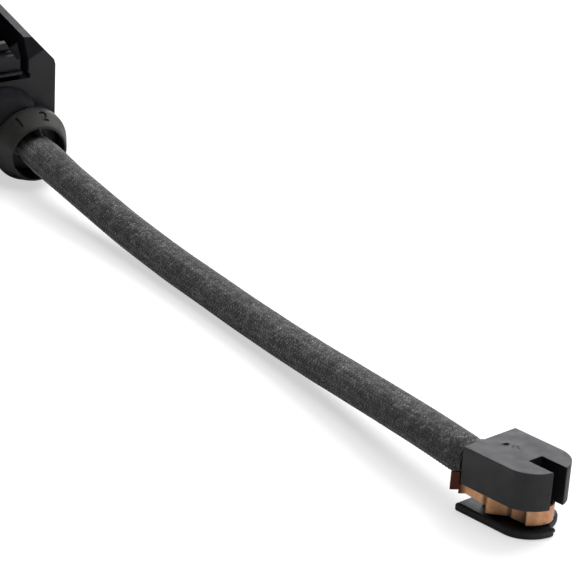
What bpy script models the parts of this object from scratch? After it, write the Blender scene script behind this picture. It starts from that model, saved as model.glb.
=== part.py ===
# Brake pad wear sensor: sensing head, lead in a woven sleeve, and sealed two-way plug.
# Units are metres, +Z is up. The origin is the middle of the head's standing face,
# +X points along the head to its nose, and the plug lies behind it at -X.

import bpy
import bmesh
from math import cos, pi, radians, sin, sqrt
from mathutils import Matrix, Vector
from mathutils.geometry import interpolate_bezier

mm = 0.001

# Fits
clearance = 0.30 * mm        # gap round a piece that sits in another
wireClearance = 0.15 * mm    # gap round wires, seals and crimps
seam = 0.10 * mm             # gap between faces that are pressed together

# Sensing head, one moulding
headLength = 14.25 * mm
headWidth = 11.50 * mm
headStraight = 9.30 * mm     # straight part of the sides, from the back
headTop = 10.83 * mm
bodyBottom = 4.72 * mm
flangeHeight = 1.40 * mm
flangeRim = 0.35 * mm
flangeTail = 0.45 * mm       # behind the body's back
flangeSetback = 1.75 * mm    # how much shorter the flange's nose is past its notch
flangeFarInset = 0.45 * mm   # how much narrower the flange is on that side
notchWidth = 1.20 * mm
notchDepth = 0.35 * mm
notchHeight = 0.80 * mm
notchY = 0.50 * mm           # middle of the notch
bodyEdge = 0.18 * mm
neckInset = 3.30 * mm
neckSetback = 2.00 * mm
slotWidth = 3.00 * mm
slotDepth = 5.15 * mm
gateRadius = 0.45 * mm
gateDepth = 0.15 * mm
gateFromBack = 3.20 * mm

# Spring clip
clipThickness = 0.35 * mm
clipNoseInset = 1.35 * mm    # from the body's nose to the band's outer face
clipNoseSide = 1.55 * mm     # the same at the nose arc's widest, on the right
clipNoseFar = 2.35 * mm      # and on the left
clipStepUp = 1.20 * mm       # how much higher the band's rear stretch hangs
clipStepX = 4.85 * mm        # where that stretch ends, from the back
tongueReach = 1.10 * mm      # behind the head
tongueFlare = 0.90 * mm      # out past the head's side
tongueBottom = 3.55 * mm
tongueTop = 6.45 * mm
clipNoseAngle = radians(55)

# Folds along each side: distance from the head's back, inset from its side
clipFolds = [
    (0.40 * mm, 1.05 * mm),
    (4.55 * mm, 0.52 * mm),
    (5.10 * mm, 0.62 * mm),
    (7.85 * mm, 2.62 * mm),
    (8.40 * mm, 2.60 * mm),
]
clipNeck = 0.394 * mm        # from the last bend to the nose arc
clipNeckInset = 2.64 * mm

# Lead
sleeveDiameter = 6.20 * mm
wireDiameter = 1.30 * mm
sleeveSides = 4              # bevel resolution of its tube
cuffWall = 0.40 * mm
cuffReach = 0.40 * mm        # behind the lead's last point
cuffInHead = 0.40 * mm       # past that point
sleeveInHead = 0.80 * mm
socketPast = 0.30 * mm       # hollow past the sleeve's end, with the clearance

# Route of the lead's middle line, from the plug's mouth to the head's back
leadRoute = [
    (-145.7, 28.4, 6.80),
    (-139.8, 27.1, 6.34),
    (-133.9, 25.9, 5.82),
    (-128.0, 24.8, 5.24),
    (-122.1, 23.7, 4.66),
    (-116.2, 22.6, 4.14),
    (-110.3, 21.6, 3.72),
    (-104.4, 20.5, 3.43),
    (-98.5, 19.3, 3.27),
    (-92.7, 18.2, 3.20),
    (-86.8, 17.0, 3.18),
    (-80.9, 15.7, 3.20),
    (-75.1, 14.4, 3.28),
    (-69.2, 13.1, 3.42),
    (-63.4, 11.7, 3.64),
    (-57.5, 10.3, 3.95),
    (-51.7, 8.8, 4.33),
    (-45.9, 7.4, 4.76),
    (-40.1, 5.9, 5.22),
    (-34.3, 4.4, 5.69),
    (-28.5, 2.9, 6.14),
    (-22.7, 1.45, 6.54),
    (-16.9, 0.05, 6.82),
    (-11.2, -1.25, 7.00),
]
leadEnd = (-0.275, -1.95, 7.05)    # on the middle line, from the head's back

# Wires and wear loop in the head
headWirePitch = 2.70 * mm
spliceWall = 0.20 * mm
spliceLength = 2.60 * mm
headWireSetback = 1.00 * mm  # from the sleeve's end to where the wires start
spliceOverlap = 1.00 * mm    # wire held in the splice
loopDiameter = 0.60 * mm
loopLeg = 0.725 * mm         # straight wire between splice and bend
loopCover = 0.625 * mm       # plastic between the loop's channel and the slot

# Plug, in its own frame: +X along the lead toward the head, mouth at x = 0
plugMouth = Vector((-151.0, 29.75, 7.08)) * mm
plugYaw = radians(-15.0)
plugPitch = radians(7.5)
plugRoll = radians(5.0)

capRimRadius = 5.90 * mm
capRadius = 7.50 * mm
capLength = 5.10 * mm
capRimEdge = 0.25 * mm
capPlugRadius = 6.10 * mm
capPlugLength = 4.00 * mm
mouthRadius = 5.30 * mm
mouthDepth = 4.60 * mm
throatLength = 1.00 * mm
ferruleWall = 0.50 * mm
ferruleLength = 2.50 * mm
sleeveInPlug = 8.60 * mm

# The cap's dome: distance from its mouth, inset from its full radius
capDome = [
    (1.80 * mm, 0.95 * mm),
    (3.20 * mm, 0.35 * mm),
    (4.10 * mm, 0.0),
]

retainerThickness = 1.20 * mm
cavityPitch = 4.60 * mm
sealRadius = 1.90 * mm
sealLength = 4.80 * mm
contactRadius = 1.50 * mm
contactLength = 8.60 * mm
crimpLength = 3.10 * mm
pinRadius = 0.75 * mm
pinLength = 8.40 * mm
pinPoint = 0.70 * mm         # length of the pin's tapered tip
contactTaper = 0.40 * mm
crimpWall = 0.30 * mm
crimpDepth = 2.30 * mm       # of the wire's hole in the crimp
wireInCrimp = 2.00 * mm
sealRib = 0.30 * mm          # height of a seal's ribs
sealRibFoot = 1.10 * mm      # a rib's width at its foot and at its top
sealRibTop = 0.50 * mm

barrelRadius = 7.40 * mm
humpRadius = 7.20 * mm
humpY = -4.80 * mm
humpZ = 4.80 * mm
barrelOverlap = 1.00 * mm    # barrel and feet run this far into the shroud

# The hump's rounded shoulder: distance from the housing's rear, inset from its full radius
humpShoulder = [
    (0.0, 1.80 * mm),
    (0.40 * mm, 0.90 * mm),
    (1.20 * mm, 0.20 * mm),
    (2.20 * mm, 0.0),
]

wallX = -7.00 * mm           # rear face of the guard walls
guardLength = 25.0 * mm
guardRight = 6.25 * mm
guardTop = 20.40 * mm
guardShoulder = 14.90 * mm   # top of the guard's upright sides
guardCorner = 1.05 * mm      # height of the steep facet above each side
guardCornerInset = 0.30 * mm
guardChamfer = 4.10 * mm     # from each side to the roof's edge
guardFacet = 16.70 * mm      # lowest point of the slanting facet on the rear wall
guardFacetDepth = 2.50 * mm
facetReach = 8.00 * mm       # of its cut, along and over the wall
facetOverlap = 2.00 * mm     # of its cut, into the slit beside the lever
leverY = -3.30 * mm          # middle of the latch lever and its guard
leverWidth = 5.20 * mm
slitWidth = 1.35 * mm
slitBottom = 13.90 * mm
leverThickness = 1.60 * mm
leverGap = 1.00 * mm
padDepth = 2.40 * mm         # the finger pad's two ledges, front to back
ledgeHeight = 1.30 * mm
ledgeRecess = 0.80 * mm
ledgeStep = 1.00 * mm        # how much lower the second ledge is, past the first
recessLift = 0.60 * mm       # from the lever to the lower recess
slitFrontGap = 4.00 * mm     # from the slits' ends to the guard's front
cutterReach = 1.00 * mm      # how far a cutter runs out of the material
cavityLap = 0.50 * mm        # how far one hollow runs into the next

lockRim = 0.25 * mm          # plastic outside the lock's pin holes
shroudHalfHeight = 7.40 * mm
shroudWall = 1.60 * mm
shroudCorner = 1.50 * mm
socketCorner = 2.00 * mm
sealCorner = 1.90 * mm       # outer corners of the mating seal
windowCorner = 1.30 * mm     # inner corners of the mating seal
lockCorner = 1.20 * mm
shroudRear = -24.0 * mm
shroudFront = -42.0 * mm
socketFloor = -26.7 * mm
lockThickness = 1.40 * mm
matingSealWidth = 0.80 * mm
matingSealDepth = 2.50 * mm
footRear = -34.0 * mm
footFront = -41.5 * mm
footWidth = 1.80 * mm
footY = 5.00 * mm

# Derived sizes
headBack = -headLength / 2
straightEnd = headBack + headStraight
slotInner = headBack + headLength - slotDepth
sleeveRadius = sleeveDiameter / 2
wireRadius = wireDiameter / 2
ferruleInner = sleeveRadius + wireClearance
ferruleOuter = ferruleInner + ferruleWall
capEnd = -(capLength + capPlugLength)
retainerRear = capEnd - clearance
retainerFront = retainerRear - retainerThickness
chamberRear = retainerFront - clearance
sealRear = chamberRear - clearance
sealFront = sealRear - sealLength
chamberFront = sealFront - clearance
contactRear = chamberFront - wireClearance
cavityRadius = contactRadius + clearance
guardFront = wallX - guardLength
lockHalfWidth = cavityPitch / 2 + pinRadius + clearance + lockRim
shroudHalfWidth = lockHalfWidth + clearance + matingSealWidth + clearance + shroudWall
barrelFront = shroudRear - barrelOverlap
tongueRoot = headBack - clearance
loopBend = slotInner - loopCover - clearance - loopDiameter / 2 - headWirePitch / 2
spliceRear = loopBend - loopLeg - spliceLength
headWireEnd = spliceRear + spliceOverlap
headWireStart = headBack + sleeveInHead + headWireSetback

for item in list(bpy.data.objects):
    bpy.data.objects.remove(item)

partCollection = bpy.data.collections.new("brake_pad_wear_sensor")
cutterCollection = bpy.data.collections.new("cutters")
bpy.context.scene.collection.children.link(partCollection)
bpy.context.scene.collection.children.link(cutterCollection)


def addObject(name, data):
    item = bpy.data.objects.new(name, data)
    partCollection.objects.link(item)
    return item


def makeMaterial(name, colour, roughness, metallic=0.0):
    material = bpy.data.materials.new(name)
    material.use_nodes = True
    shader = material.node_tree.nodes["Principled BSDF"]
    shader.inputs["Base Color"].default_value = (*colour, 1.0)
    shader.inputs["Roughness"].default_value = roughness
    shader.inputs["Metallic"].default_value = metallic
    material.diffuse_color = (*colour, 1.0)
    return material


def asMesh(item):
    # a curve or a piece with modifiers becomes a plain welded mesh
    bpy.context.view_layer.update()
    evaluated = item.evaluated_get(bpy.context.evaluated_depsgraph_get())
    mesh = bpy.data.meshes.new_from_object(evaluated)
    shape = bmesh.new()
    shape.from_mesh(mesh)
    bmesh.ops.remove_doubles(shape, verts=shape.verts, dist=0.000001)
    bmesh.ops.recalc_face_normals(shape, faces=shape.faces)
    shape.to_mesh(mesh)
    shape.free()
    name = item.name
    matrix = item.matrix_world.copy()
    bpy.data.objects.remove(item)
    solid = addObject(name, mesh)
    solid.matrix_world = matrix
    return solid


def plate(name, outline, bottom, top):
    curve = bpy.data.curves.new(name, "CURVE")
    curve.dimensions = "2D"
    curve.fill_mode = "BOTH"
    curve.extrude = (top - bottom) / 2
    spline = curve.splines.new("POLY")
    spline.points.add(len(outline) - 1)
    for point, (x, y) in zip(spline.points, outline):
        point.co = (x, y, 0.0, 1.0)
    spline.use_cyclic_u = True
    item = addObject(name, curve)
    item.location.z = (bottom + top) / 2
    return asMesh(item)


def box(name, low, high):
    low = Vector(low)
    high = Vector(high)
    shape = bmesh.new()
    bmesh.ops.create_cube(shape, size=1.0)
    bmesh.ops.scale(shape, vec=high - low, verts=shape.verts)
    bmesh.ops.translate(shape, vec=(low + high) / 2, verts=shape.verts)
    mesh = bpy.data.meshes.new(name)
    shape.to_mesh(mesh)
    shape.free()
    return addObject(name, mesh)


def rod(name, start, end, radius, sides=32):
    start = Vector(start)
    end = Vector(end)
    along = end - start
    shape = bmesh.new()
    bmesh.ops.create_cone(
        shape, cap_ends=True, segments=sides, radius1=radius, radius2=radius, depth=along.length
    )
    mesh = bpy.data.meshes.new(name)
    shape.to_mesh(mesh)
    shape.free()
    item = addObject(name, mesh)
    turn = along.to_track_quat("Z", "Y").to_matrix().to_4x4()
    item.data.transform(Matrix.Translation((start + end) / 2) @ turn)
    return item


def turned(name, profile, y=0.0, z=0.0, steps=32, closed=True):
    # a profile of (x, radius) points turned about a line along X
    mesh = bpy.data.meshes.new(name)
    points = [(x, 0.0, radius) for x, radius in profile]
    edges = [(index, index + 1) for index in range(len(points) - 1)]
    if closed:
        edges.append((len(points) - 1, 0))
    mesh.from_pydata(points, edges, [])
    item = addObject(name, mesh)
    screw = item.modifiers.new("turn", "SCREW")
    screw.axis = "X"
    screw.steps = steps
    screw.render_steps = steps
    screw.use_merge_vertices = True
    screw.merge_threshold = 0.000001
    item.location = (0.0, y, z)
    return asMesh(item)


def tube(name, points, radius, resolution=2):
    curve = bpy.data.curves.new(name, "CURVE")
    curve.dimensions = "3D"
    curve.bevel_depth = radius
    curve.bevel_resolution = resolution
    curve.use_fill_caps = True
    spline = curve.splines.new("POLY")
    spline.points.add(len(points) - 1)
    for point, place in zip(spline.points, points):
        point.co = (*place, 1.0)
    return addObject(name, curve)


def smooth(item, angle=35):
    item.data.shade_smooth()
    item.data.set_sharp_from_angle(angle=radians(angle))
    return item


def bevel(item, width, segments=1, limit=50):
    modifier = item.modifiers.new("edges", "BEVEL")
    modifier.width = width
    modifier.segments = segments
    modifier.limit_method = "ANGLE"
    modifier.angle_limit = radians(limit)
    modifier.use_clamp_overlap = True
    return item


def combine(target, others, operation, crossing=False):
    # crossing allows a target that runs into itself, as a bent strip can in a tight fold
    for other in others:
        modifier = target.modifiers.new(other.name, "BOOLEAN")
        modifier.object = other
        modifier.operation = operation
        modifier.solver = "EXACT"
        modifier.use_self = crossing
        if other.name in partCollection.objects:
            partCollection.objects.unlink(other)
            cutterCollection.objects.link(other)
        other.hide_render = True
        other.display_type = "WIRE"
    return target


def join(target, *others):
    return combine(target, others, "UNION")


def cut(target, *others):
    return combine(target, others, "DIFFERENCE")


def smoothRoute(points, perSpan):
    # a smooth curve through the points, each with a handle along its neighbours' chord
    spots = [Vector(point) for point in points]
    slopes = []
    for index in range(len(spots)):
        before = spots[max(index - 1, 0)]
        after = spots[min(index + 1, len(spots) - 1)]
        slopes.append((after - before) / 6)
    route = [spots[0]]
    for index in range(len(spots) - 1):
        handleOut = spots[index] + slopes[index]
        handleIn = spots[index + 1] - slopes[index + 1]
        span = interpolate_bezier(
            spots[index], handleOut, handleIn, spots[index + 1], perSpan + 1
        )
        route.extend(span[1:])
    return route


def inward(outline, distance):
    # the outline's corners moved in, square to its sides
    moved = []
    for index, corner in enumerate(outline):
        corner = Vector(corner)
        before = corner - Vector(outline[index - 1])
        after = Vector(outline[(index + 1) % len(outline)]) - corner
        across = before.orthogonal().normalized() + after.orthogonal().normalized()
        moved.append(corner + across * (2 * distance / across.length_squared))
    return moved


def rimmedPlate(name, outline, bottom, top, rim):
    # a plate with its rims rounded in two steps
    middle = rim * (1 - cos(pi / 4))
    levels = [
        (bottom, rim),
        (bottom + middle, middle),
        (bottom + rim, 0.0),
        (top - rim, 0.0),
        (top - middle, middle),
        (top, rim),
    ]
    count = len(outline)
    corners = []
    faces = [list(range(count))[::-1]]
    for level, (z, inset) in enumerate(levels):
        corners.extend((x, y, z) for x, y in inward(outline, inset))
        if level > 0:
            upper = level * count
            lower = upper - count
            for index in range(count):
                after = (index + 1) % count
                faces.append((lower + index, lower + after, upper + after, upper + index))
    faces.append(range(len(corners) - count, len(corners)))
    mesh = bpy.data.meshes.new(name)
    mesh.from_pydata(corners, [], faces)
    return addObject(name, mesh)


def flangeOutline():
    # the D outline, with its nose set back past the notch
    noseLength = headLength - headStraight
    low = notchY - notchWidth / 4
    high = notchY + notchWidth / 4
    outline = dOutline(0.0, headBack - flangeTail)
    points = [(x, y) for x, y in outline if y < low - flangeRim]
    for y, length in ((low, noseLength), (high, noseLength - flangeSetback)):
        points.append((straightEnd + length * sqrt(1 - (2 * y / headWidth) ** 2), y))
    narrower = 1 - 2 * flangeFarInset / headWidth
    for x, y in outline:
        if y > high + flangeRim:
            setback = flangeSetback * max(x - straightEnd, 0.0) / noseLength
            points.append((x - setback, y * narrower))
    return points


def dOutline(inset, back):
    halfWidth = headWidth / 2 - inset
    noseLength = headLength - headStraight - inset
    points = [(back, -halfWidth)]
    noseSteps = 28
    for step in range(noseSteps + 1):
        angle = -pi / 2 + pi * step / noseSteps
        points.append((straightEnd + noseLength * cos(angle), halfWidth * sin(angle)))
    points.append((back, halfWidth))
    return points


# Materials
headPlastic = makeMaterial("head_plastic", (0.055, 0.055, 0.060), 0.55)
plugPlastic = makeMaterial("plug_plastic", (0.045, 0.045, 0.048), 0.50)
capPlastic = makeMaterial("cap_plastic", (0.050, 0.050, 0.050), 0.55)
bronze = makeMaterial("spring_bronze", (0.60, 0.32, 0.16), 0.32, 1.0)
wovenSleeve = makeMaterial("woven_sleeve", (0.075, 0.075, 0.078), 0.85)
wireInsulation = makeMaterial("wire_insulation", (0.030, 0.030, 0.032), 0.50)
copper = makeMaterial("copper_wire", (0.72, 0.36, 0.20), 0.35, 1.0)
tinned = makeMaterial("tinned_brass", (0.70, 0.68, 0.62), 0.30, 1.0)
sealRubber = makeMaterial("seal_rubber", (0.20, 0.035, 0.020), 0.70)
lockPlastic = makeMaterial("lock_plastic", (0.45, 0.43, 0.38), 0.50)


def addSensorHead(leadPoint, leadDirection):
    head = bevel(plate("sensor_head", dOutline(0.0, headBack), bodyBottom, headTop), bodyEdge)
    neck = plate(
        "neck", dOutline(neckInset, headBack + neckSetback), flangeHeight / 2, bodyBottom + clearance
    )
    flange = rimmedPlate("flange", flangeOutline(), 0.0, flangeHeight, flangeRim)
    notch = box(
        "notch",
        (headBack + headLength - flangeSetback - notchDepth, notchY - notchWidth / 2, -clearance),
        (headLength, notchY + notchWidth / 2, notchHeight),
    )
    cuffRadius = sleeveRadius + wireClearance + cuffWall
    cuffStart = leadPoint - leadDirection * cuffReach
    cuffEnd = leadPoint + leadDirection * cuffInHead
    cuff = rod("cuff", cuffStart, cuffEnd, cuffRadius, 40)
    underCuff = box(
        "under_cuff",
        (2 * headBack, -headWidth, -headWidth),
        (0.0, headWidth, tongueTop + clearance),
    )
    cuff = asMesh(cut(cuff, underCuff))
    flange = asMesh(cut(flange, notch))
    join(head, neck, flange, cuff)

    slot = box(
        "slot",
        (slotInner, -slotWidth / 2, bodyBottom),
        (headLength, slotWidth / 2, headTop + clearance),
    )
    gateX = headBack + gateFromBack
    gate = rod(
        "gate_mark",
        (gateX, 0.0, headTop - gateDepth),
        (gateX, 0.0, headTop + gateDepth),
        gateRadius,
        20,
    )
    socketEnd = leadPoint + leadDirection * (sleeveInHead + socketPast + clearance)
    socket = rod(
        "sleeve_socket",
        leadPoint - leadDirection * sleeveDiameter,
        socketEnd,
        sleeveRadius + wireClearance,
        40,
    )
    cut(head, slot, gate, socket)

    boreRadius = wireRadius + wireClearance * 2 + spliceWall + wireClearance
    for side in (-1, 1):
        y = socketEnd.y + side * headWirePitch / 2
        z = socketEnd.z
        bore = rod(
            "wire_bore",
            (socketEnd.x - clearance, y, z),
            (spliceRear + spliceLength + clearance, y, z),
            boreRadius,
            20,
        )
        cut(head, bore)
    channel = asMesh(
        tube("loop_channel", loopPath(socketEnd), loopDiameter / 2 + clearance, 2)
    )
    cut(head, channel)
    head.data.materials.append(headPlastic)
    smooth(head)
    return socketEnd


def loopPath(socketEnd):
    radius = headWirePitch / 2
    start = headWireEnd + clearance
    points = [Vector((start, socketEnd.y - radius, socketEnd.z))]
    for step in range(13):
        angle = -pi / 2 + pi * step / 12
        points.append(
            Vector((loopBend + radius * cos(angle), socketEnd.y + radius * sin(angle), socketEnd.z))
        )
    points.append(Vector((start, socketEnd.y + radius, socketEnd.z)))
    return points


def addHeadInside(socketEnd):
    loop = tube("wear_loop", loopPath(socketEnd), loopDiameter / 2, 2)
    loop.data.materials.append(copper)
    inner = wireRadius + wireClearance
    outer = inner + spliceWall
    for side, letter in ((-1, "a"), (1, "b")):
        y = socketEnd.y + side * headWirePitch / 2
        wire = rod(
            "head_wire_" + letter,
            (headWireStart, y, socketEnd.z),
            (headWireEnd, y, socketEnd.z),
            wireRadius,
            16,
        )
        wire.data.materials.append(wireInsulation)
        smooth(wire)
        splice = turned(
            "splice_" + letter,
            [
                (spliceRear, inner),
                (spliceRear, outer),
                (spliceRear + spliceLength, outer),
                (spliceRear + spliceLength, inner),
            ],
            y,
            socketEnd.z,
            16,
        )
        splice.data.materials.append(tinned)
        smooth(splice)


def clipPath():
    halfWidth = headWidth / 2
    left = [(headBack - tongueReach, -(halfWidth + tongueFlare))]
    side = [(headBack + along, halfWidth - inset) for along, inset in clipFolds]
    noseX = headLength - headStraight - clipNoseInset
    noseRight = halfWidth - clipNoseSide
    noseLeft = halfWidth - clipNoseFar
    neckEnd = straightEnd + noseX * cos(clipNoseAngle) - clipNeck
    side.append((neckEnd, halfWidth - clipNeckInset))
    left.extend((x, -y) for x, y in side)
    arc = []
    for step in range(17):
        angle = -clipNoseAngle + 2 * clipNoseAngle * step / 16
        noseY = noseRight if angle < 0 else noseLeft
        arc.append((straightEnd + noseX * cos(angle), noseY * sin(angle)))
    return left + arc + side[::-1]


def addSpringClip():
    bandBottom = flangeHeight + clearance
    bandTop = bodyBottom - clearance
    path = clipPath()
    mesh = bpy.data.meshes.new("spring_clip")
    edges = [(index, index + 1) for index in range(len(path) - 1)]
    mesh.from_pydata([(x, y, bandBottom) for x, y in path], edges, [])
    shape = bmesh.new()
    shape.from_mesh(mesh)
    grown = bmesh.ops.extrude_edge_only(shape, edges=shape.edges)
    raised = [part for part in grown["geom"] if isinstance(part, bmesh.types.BMVert)]
    bmesh.ops.translate(shape, verts=raised, vec=(0.0, 0.0, tongueTop - bandBottom))
    shape.to_mesh(mesh)
    shape.free()
    clip = addObject("spring_clip", mesh)
    thick = clip.modifiers.new("strip", "SOLIDIFY")
    thick.thickness = clipThickness
    thick.offset = 1.0
    thick.use_even_offset = True
    far = headLength
    stepTop = bandBottom + clipStepUp
    aboveBand = box("above_band", (tongueRoot, -far, bandTop), (far, far, far))
    underTongue = box("under_tongue", (-far, -far, -far), (tongueRoot, far, tongueBottom))
    underStep = box("under_step", (tongueRoot, -far, -far), (headBack + clipStepX, far, stepTop))
    combine(clip, [aboveBand, underTongue, underStep], "DIFFERENCE", crossing=True)
    clip.data.materials.append(bronze)


def leadPoints():
    alongPlug = plugFrame.to_3x3() @ Vector((1.0, 0.0, 0.0))
    first = plugMouth - alongPlug * sleeveInPlug
    inside = plugMouth - alongPlug * (sleeveInPlug / 2)
    route = [Vector(point) * mm for point in leadRoute]
    last = Vector((headBack, 0.0, 0.0)) + Vector(leadEnd) * mm
    direction = (last - route[-1]).normalized()
    end = last + direction * sleeveInHead
    points = [first, inside, plugMouth] + route + [last, end]
    return points, last, direction


def addLead(points):
    sleeve = tube("braided_sleeve", smoothRoute(points, 2), sleeveRadius, sleeveSides)
    sleeve.data.materials.append(wovenSleeve)


def inPlug(item, material):
    item.parent = plugEmpty
    item.data.materials.append(material)
    smooth(item)
    return item


def addRearCap():
    throat = sleeveRadius + clearance
    chamber = ferruleOuter + clearance
    dome = [(-x, capRadius - inset) for x, inset in capDome]
    profile = [
        (0.0, mouthRadius),
        (0.0, capRimRadius - capRimEdge),
        (-capRimEdge, capRimRadius),
        *dome,
        (-capLength, capRadius),
        (-capLength, capPlugRadius),
        (capEnd, capPlugRadius),
        (capEnd, chamber),
        (-(mouthDepth + throatLength), chamber),
        (-(mouthDepth + throatLength), throat),
        (-mouthDepth, throat),
        (-mouthDepth, mouthRadius),
    ]
    inPlug(turned("rear_cap", profile, steps=48), capPlastic)
    ferruleRear = -(mouthDepth + throatLength + clearance)
    ferrule = turned(
        "sleeve_ferrule",
        [
            (ferruleRear, ferruleInner),
            (ferruleRear, ferruleOuter),
            (ferruleRear - ferruleLength, ferruleOuter),
            (ferruleRear - ferruleLength, ferruleInner),
        ],
        steps=40,
    )
    inPlug(ferrule, tinned)


def addContacts():
    wireStart = -sleeveInPlug - clearance
    wireEnd = contactRear - wireInCrimp
    bore = wireRadius + wireClearance
    crimpRadius = bore + crimpWall
    foot = sealRadius - sealRib
    bodyRear = contactRear - crimpLength
    bodyFront = contactRear - contactLength
    pinTip = bodyFront - pinLength
    for side, letter in ((-1, "a"), (1, "b")):
        y = side * cavityPitch / 2
        wire = rod("plug_wire_" + letter, (wireStart, y, 0.0), (wireEnd, y, 0.0), wireRadius, 16)
        inPlug(wire, wireInsulation)
        profile = [(sealRear, bore), (sealRear, foot)]
        for index in range(3):
            x = sealRear - sealLength * (index + 0.5) / 3
            profile.append((x + sealRibFoot / 2, foot))
            profile.append((x + sealRibTop / 2, sealRadius))
            profile.append((x - sealRibTop / 2, sealRadius))
            profile.append((x - sealRibFoot / 2, foot))
        profile.extend([(sealFront, foot), (sealFront, bore)])
        inPlug(turned("wire_seal_" + letter, profile, y, 0.0, 24), sealRubber)
        profile = [
            (contactRear - crimpDepth, 0.0),
            (contactRear - crimpDepth, bore),
            (contactRear, bore),
            (contactRear, crimpRadius),
            (bodyRear, crimpRadius),
            (bodyRear - contactTaper, contactRadius),
            (bodyFront, contactRadius),
            (bodyFront - contactTaper, pinRadius),
            (pinTip + pinPoint, pinRadius),
            (pinTip, pinRadius / 2),
            (pinTip, 0.0),
        ]
        inPlug(turned("terminal_" + letter, profile, y, 0.0, 20, closed=False), tinned)


def roundedOutline(halfWidth, halfHeight, radius):
    points = []
    corners = ((1, 1, 0), (-1, 1, 90), (-1, -1, 180), (1, -1, 270))
    for signY, signZ, start in corners:
        for step in range(5):
            angle = radians(start + 22.5 * step)
            y = signY * (halfWidth - radius) + radius * cos(angle)
            z = signZ * (halfHeight - radius) + radius * sin(angle)
            points.append((y, z))
    return points


def acrossPlate(name, outline, rear, front):
    # an outline of (y, z) points, extruded along the plug from rear to front
    item = plate(name, outline, -abs(front - rear) / 2, abs(front - rear) / 2)
    turn = Matrix(((0, 0, 1, (rear + front) / 2), (1, 0, 0, 0), (0, 1, 0, 0), (0, 0, 0, 1)))
    item.data.transform(turn)
    item.matrix_world = Matrix.Identity(4)
    return item


def addRetainerAndLock():
    holes = wireRadius + clearance
    retainer = rod("seal_retainer", (retainerRear, 0, 0), (retainerFront, 0, 0), capPlugRadius, 40)
    lockRear = socketFloor - clearance
    lockFront = lockRear - lockThickness
    innerWidth = shroudHalfWidth - shroudWall - clearance - matingSealWidth
    innerHeight = shroudHalfHeight - shroudWall - clearance - matingSealWidth
    lock = acrossPlate(
        "terminal_lock",
        roundedOutline(lockHalfWidth, innerHeight - clearance, lockCorner),
        lockRear,
        lockFront,
    )
    for side in (-1, 1):
        y = side * cavityPitch / 2
        hole = rod("retainer_hole", (0, y, 0), (4 * retainerFront, y, 0), holes, 20)
        cut(retainer, hole)
        pinHole = rod("lock_hole", (0, y, 0), (2 * lockFront, y, 0), pinRadius + clearance, 20)
        cut(lock, pinHole)
        hole.parent = plugEmpty
        pinHole.parent = plugEmpty
    inPlug(retainer, plugPlastic)
    inPlug(lock, lockPlastic)
    seal = acrossPlate(
        "mating_seal",
        roundedOutline(innerWidth + matingSealWidth, innerHeight + matingSealWidth, sealCorner),
        lockRear,
        lockRear - matingSealDepth,
    )
    window = acrossPlate(
        "seal_window", roundedOutline(innerWidth, innerHeight, windowCorner), 0.0, 2 * lockFront
    )
    cut(seal, window)
    window.parent = plugEmpty
    inPlug(seal, sealRubber)


def guardOutline():
    right = guardRight
    left = 2 * leverY - guardRight
    corner = guardShoulder + guardCorner
    return [
        (right, 0.0),
        (right, guardShoulder),
        (right - guardCornerInset, corner),
        (right - guardChamfer, guardTop),
        (left + guardChamfer, guardTop),
        (left + guardCornerInset, corner),
        (left, guardShoulder),
        (left, humpZ),
        (left + guardChamfer, 0.0),
    ]


def addFacet():
    # a slanting cut across the top of the rear wall, right of the lever
    low = Vector((wallX, leverY + leverWidth / 2 + slitWidth, guardFacet))
    along = Vector((0.0, 0.89, 0.456))
    rising = Vector((-guardFacetDepth, 0.0, guardTop - guardFacet))
    normal = along.cross(rising).normalized()
    if normal.z < 0:
        normal = -normal
    forward = normal.cross(along)
    facet = box("facet", (-facetOverlap, -facetReach, 0.0), (facetReach, facetReach, facetReach))
    turn = Matrix((along, forward, normal)).transposed().to_4x4()
    facet.data.transform(Matrix.Translation(low) @ turn)
    return facet


def addHousing():
    housingRear = -(capLength + seam)
    housing = rod(
        "connector_housing", (housingRear, 0, 0), (barrelFront, 0, 0), barrelRadius, 48
    )
    hump = turned(
        "hump",
        [
            (housingRear, 0.0),
            *[(housingRear - x, humpRadius - inset) for x, inset in humpShoulder],
            (barrelFront, humpRadius),
            (barrelFront, 0.0),
        ],
        humpY,
        humpZ,
        48,
        closed=False,
    )
    guard = acrossPlate("guard", guardOutline(), wallX, guardFront)
    shroud = acrossPlate(
        "shroud",
        roundedOutline(shroudHalfWidth, shroudHalfHeight, shroudCorner),
        shroudRear,
        shroudFront,
    )
    pieces = [hump, guard, shroud]
    normal = plugFrame.to_3x3() @ Vector((0.0, 0.0, 1.0))
    sideways = plugFrame.to_3x3() @ Vector((0.0, 1.0, 0.0))
    along = plugFrame.to_3x3() @ Vector((1.0, 0.0, 0.0))
    for side in (-1, 1):
        # each foot reaches the standing plane with the plug lying tilted and rolled
        height = plugMouth.z + along.z * footRear + sideways.z * side * footY
        bottom = -(height - abs(sideways.z) * footWidth / 2) / normal.z
        foot = box(
            "foot",
            (footFront, side * footY - footWidth / 2, bottom),
            (footRear, side * footY + footWidth / 2, barrelOverlap - shroudHalfHeight),
        )
        pieces.append(foot)
    join(housing, *pieces)
    cutters = [addFacet()] + addSlits() + addCavities()
    cut(housing, *cutters)
    for item in pieces + cutters:
        item.parent = plugEmpty
    inPlug(housing, plugPlastic)


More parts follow.
